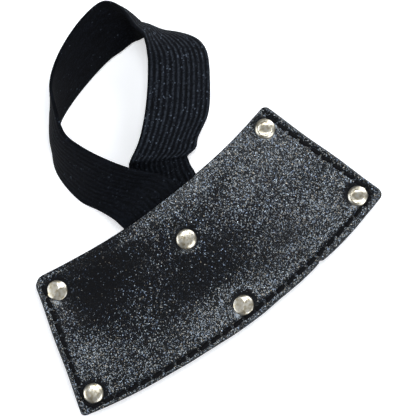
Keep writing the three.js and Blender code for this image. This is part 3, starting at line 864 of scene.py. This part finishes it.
def postPiece(name, facets, length, headRadius, headHeight, transform, replaced):
    head = [(r, -z) for r, z in domeProfile(headRadius, headHeight)]
    radius, bevel = rivet["postRadius"], rivet["tipBevel"]
    stem = [(radius, 0.0), (radius, length - bevel), (radius - bevel, length), (0, length)]
    bm = spun(head + stem)
    for vert in bm.verts:
        vert.co.z = -vert.co.z
    hammer(bm, facets, headHeight)
    for vert in bm.verts:
        vert.co.z = -vert.co.z
    bmesh.ops.transform(bm, matrix=transform, verts=bm.verts)
    bmesh.ops.recalc_face_normals(bm, faces=bm.faces)
    piece = finish(bm, name, [nickel], "sheath")
    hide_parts(replaced)
    return piece


# where the hammer struck each cap: slopes along X and Y, and the level as a share of the height
struck = {
    "mouth_right": [],
    "edge_right": [],
    "mouth_left": [(0.2, -0.2, 0.93), (-0.02, 0.2, 0.97)],
    "edge_left": [],
    "edge_middle": [(0.2, -0.16, 0.96), (-0.1, 0.12, 0.97)],
    "centre_front": [],
    "centre_back": [(0.05, 0.06, 0.95)],
    "backs": [(0.08, -0.07, 0.93), (-0.1, 0.08, 0.97)],
}
for rivetName, (rivetX, rivetY) in rivetPlaces.items():
    top = frontPanel["outerFace"] + float(bulge(np.array(rivetX), np.array(rivetY)))
    capSeat = Matrix.Translation((rivetX, rivetY, top - rivet["capSink"]))
    postSeat = Matrix.Translation((rivetX, rivetY, -rivet["backSink"]))
    capPiece(f"cap_{rivetName}", struck[rivetName], capSeat, f"rivet_{rivetName}_cap")
    postPiece(f"post_{rivetName}", struck["backs"], top + rivet["postPast"], rivet["capRadius"],
            rivet["backHeight"], postSeat, f"rivet_{rivetName}_post")

# the two middle rivets each hold one end of the band: their seats are the panels' inner faces
leatherThick = frontPanel["outerFace"] - frontPanel["innerFace"]
centreX, centreY = centreRivet
rises = [float(bulge(np.array(centreX), np.array(centreY + step))) for step in (-0.5, 0, 0.5)]
frontSeat = Matrix.Translation((centreX, centreY, frontPanel["innerFace"] + rises[1]))
frontSeat = frontSeat @ Matrix.Rotation(math.atan(rises[2] - rises[0]), 4, "X")
backSeat = Matrix.Translation((centreX, centreY, backPanel["innerFace"]))
backSeat = backSeat @ Matrix.Rotation(math.pi, 4, "X")
for sideName, seat in (("front", frontSeat), ("back", backSeat)):
    capSeat = seat @ Matrix.Translation((0, 0, leatherThick - rivet["centreSink"]))
    postSeat = seat @ Matrix.Translation((0, 0, rivet["centreHeadAt"]))
    capPiece(f"cap_centre_{sideName}", struck[f"centre_{sideName}"], capSeat,
            f"rivet_centre_{sideName}_cap")
    postPiece(f"post_centre_{sideName}", [], rivet["centrePostLength"], rivet["innerHeadRadius"],
            rivet["innerHeadHeight"], postSeat, f"rivet_centre_{sideName}_post")
print("rivets done")


band = {
    "width": 30, "thickness": 1.6, "ribs": 12, "outerRib": 0.15, "innerRib": 0.0,
    "columns": 84, "rowStep": 0.85,
    "frontLean": 11, "backLean": -13.8, "behindRivet": 10, "mouthY": 37.9, "followY": 33.0,
    # heights of its middle: at the mouth, inside the front panel, on the back panel
    "frontStart": 9.2, "frontMiddle": 5.0, "backMiddle": 3.4,
    "rimRound": 0.8, "foldStation": 27, "foldPuff": 1.5, "foldAfter": 3.2, "foldBefore": 0.7,
}
# the rim that stands low, the rim that stands high, and how far the middle bows out between them
loopStations = [
    ((-18.9, 37.9, 9.2), (11.7, 37.9, 9.2), 0),
    ((-20.4, 42.2, 6.6), (8.2, 43.6, 10.8), 0),
    ((-22.6, 47.0, 3.0), (2.3, 49.8, 16.5), 0.5),
    ((-26.6, 55.5, -0.6), (-4.4, 59.3, 21.0), 0.5),
    ((-26.9, 71.3, -0.6), (-11.1, 72.4, 24.0), 1.5),
    ((-21.1, 81.2, -0.6), (-13.3, 81.4, 27.0), 3),
    ((-12.8, 87.8, -0.6), (-9.9, 91.8, 27.5), 3),
    ((-4.7, 91.3, -0.6), (-5.3, 101.8, 25.5), 1.5),
    ((7.3, 94.6, -0.6), (4.8, 110.0, 23.0), 0.5),
    ((21.1, 96.9, -0.6), (23.0, 116.9, 20.5), 0),
    ((28.7, 96.7, -0.6), (34.1, 117.3, 20.0), 1),
    ((33.8, 96.7, -0.6), (38.0, 111.0, 25.0), 4),
    ((37.2, 96.1, -0.6), (38.3, 100.5, 27.5), 4.5),
    ((43.4, 95.1, -0.6), (39.2, 95.0, 28.0), 3.5),
    ((49.4, 91.2, -0.6), (38.0, 91.2, 26.0), 2),
    ((56.2, 84.0, -0.6), (36.0, 87.7, 22.0), 1.5),
    ((58.3, 79.2, -0.3), (34.8, 85.8, 19.2), 1.5),
    ((57.8, 73.7, 0.0), (32.9, 83.4, 16.5), 1.5),
    ((50.3, 61.5, 1.5), (27.3, 76.4, 14.5), 1.5),
    ((41.7, 51.5, 2.0), (19.0, 67.5, 14.0), 1.5),
    ((31.8, 45.8, 3.0), (9.9, 59.8, 13.0), 1.5),
    ((28.6, 43.0, 3.3), (5.6, 57.4, 11.6), 1),
    ((23.9, 43.0, 3.5), (1.6, 55.9, 9.6), 0.5),
    ((22.5, 40.0, 3.3), (-3.7, 46.6, 4.0), 0),
    ((22.0, 37.9, 3.4), (-8.6, 37.9, 3.4), 0),
]


def tailStations(lean, height, sideSign):
    # the band's hidden end: from its cut end behind the middle rivet to the mouth
    turn = math.radians(lean)
    run = Vector((-math.sin(turn), math.cos(turn)))
    across = Vector((math.cos(turn), math.sin(turn)))
    stations = []
    cutEnd = Vector(centreRivet) - run * band["behindRivet"]
    corners = [cutEnd + across * side * band["width"] / 2 for side in (-1, 1)]
    for share in (0, 0.25, 0.5, 0.75, 0.93):
        points = [c + run * (band["mouthY"] - c.y) / run.y * share for c in corners]
        low, high = points if sideSign > 0 else points[::-1]
        stations.append(((low.x, low.y, height), (high.x, high.y, height), 0))
    return stations


def smoothRim(points):
    # centripetal Catmull-Rom through the points, read from 0 to 1
    p = np.array(points, float)
    p = np.vstack([2 * p[0] - p[1], p, 2 * p[-1] - p[-2]])

    def at(t):
        spot = np.clip(t, 0, 1) * (len(p) - 3)
        i = min(int(spot), len(p) - 4)
        w = spot - i
        p0, p1, p2, p3 = p[i:i + 4]
        d0, d1, d2 = [max(np.linalg.norm(b - a) ** 0.5, 1e-4) for a, b in ((p0, p1), (p1, p2), (p2, p3))]
        leave = ((p1 - p0) / d0 - (p2 - p0) / (d0 + d1) + (p2 - p1) / d1) * d1
        arrive = ((p2 - p1) / d1 - (p3 - p1) / (d1 + d2) + (p3 - p2) / d2) * d1
        square = 3 * (p2 - p1) - 2 * leave - arrive
        cube = 2 * (p1 - p2) + leave + arrive
        return p1 + leave * w + square * w ** 2 + cube * w ** 3
    return at


frontTail = tailStations(band["frontLean"], band["frontStart"], 1)
backTail = tailStations(band["backLean"], band["backMiddle"], -1)[::-1]
stations = frontTail + loopStations + backTail
lowRim = smoothRim([s[0] for s in stations])
highRim = smoothRim([s[1] for s in stations])
bows = [s[2] for s in stations]

samples = np.linspace(0, 1, 1400)
lowLine = np.array([lowRim(t) for t in samples])
highLine = np.array([highRim(t) for t in samples])
middleLine = (lowLine + highLine) / 2
runLength = np.concatenate([[0], np.cumsum(np.linalg.norm(np.diff(middleLine, axis=0), axis=1))])
bandLength = float(runLength[-1])
rows = round(bandLength / band["rowStep"])
rowT = np.interp(np.linspace(0, bandLength, rows + 1), runLength, samples)
lowRows = np.array([lowRim(t) for t in rowT])
highRows = np.array([highRim(t) for t in rowT])
travel = np.gradient(lowRows, axis=0) + np.gradient(highRows, axis=0)
acrossRows = highRows - lowRows
outRows = np.cross(acrossRows, travel)
outRows /= np.linalg.norm(outRows, axis=1)[:, None]
bowRows = np.interp(rowT * (len(stations) - 1), range(len(stations)), bows)
lengthRows = np.linspace(0, bandLength, rows + 1)
print("band is", round(bandLength, 1), "mm long,", rows, "rows")

bandBm = bmesh.new()
wrap = 2 * band["columns"]
bmesh.ops.create_grid(bandBm, x_segments=wrap, y_segments=rows, size=0.5)
uvLayer = bandBm.loops.layers.uv.new("band")
start = positions(bandBm)
sectionStep = np.rint((start[:, 0] + 0.5) * wrap).astype(int)
rowIndex = np.rint((start[:, 1] + 0.5) * rows).astype(int)
bandBm.verts.index_update()
for face in bandBm.faces:
    for loop in face.loops:
        index = loop.vert.index
        loop[uvLayer].uv = (sectionStep[index] * 2 * band["width"] / wrap, lengthRows[rowIndex[index]])

onOuter = sectionStep <= band["columns"]
# 0 at the low rim, 1 at the high rim
share = np.where(onOuter, sectionStep / band["columns"], 2 - sectionStep / band["columns"])
fromMiddle = np.abs(share - 0.5) * band["width"]
ribWave = np.abs(np.sin(math.pi * share * band["ribs"]))
endRound = np.clip((fromMiddle - (band["width"] / 2 - band["rimRound"])) / band["rimRound"], 0, 1)
fullness = np.sqrt(np.clip(1 - endRound ** 2, 0, 1))
ribDepth = np.where(onOuter, band["outerRib"], band["innerRib"])
offset = (band["thickness"] / 2 - ribDepth * (1 - ribWave)) * fullness
offset = np.where(onOuter, offset, -offset)
bow = 4 * bowRows[rowIndex] * share * (1 - share)
points = lowRows[rowIndex] + acrossRows[rowIndex] * share[:, None]

# inside the pocket the band follows the bulged front panel
inFrontTail = lengthRows[rowIndex] < bandLength / 2
follow = (1 - smoothstep(points[:, 1], band["followY"], band["mouthY"])) * inFrontTail
bulged = band["frontMiddle"] + bulge(points[:, 0], points[:, 1])
points[:, 2] = points[:, 2] * (1 - follow) + bulged * follow

# the fold where the leg doubles over just outside the mouth, on its back leg
foldRow = int(np.argmin(np.abs(rowT - band["foldStation"] / (len(stations) - 1))))
fromFold = lengthRows[foldRow] - lengthRows[rowIndex]
foldWidth = np.where(fromFold > 0, band["foldAfter"], band["foldBefore"])
bow += band["foldPuff"] * lump(fromFold, foldWidth) * ~inFrontTail

points += outRows[rowIndex] * (bow + offset)[:, None]
place(bandBm, points)
bmesh.ops.remove_doubles(bandBm, verts=bandBm.verts, dist=0.0005)
bmesh.ops.holes_fill(bandBm, edges=[e for e in bandBm.edges if e.is_boundary], sides=0)
bmesh.ops.recalc_face_normals(bandBm, faces=bandBm.faces)
strap = finish(bandBm, "elastic_band", [elasticWeave])
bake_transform(strap)
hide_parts("elastic_end_front", "elastic_end_back", "elastic_loop")
print("band done")
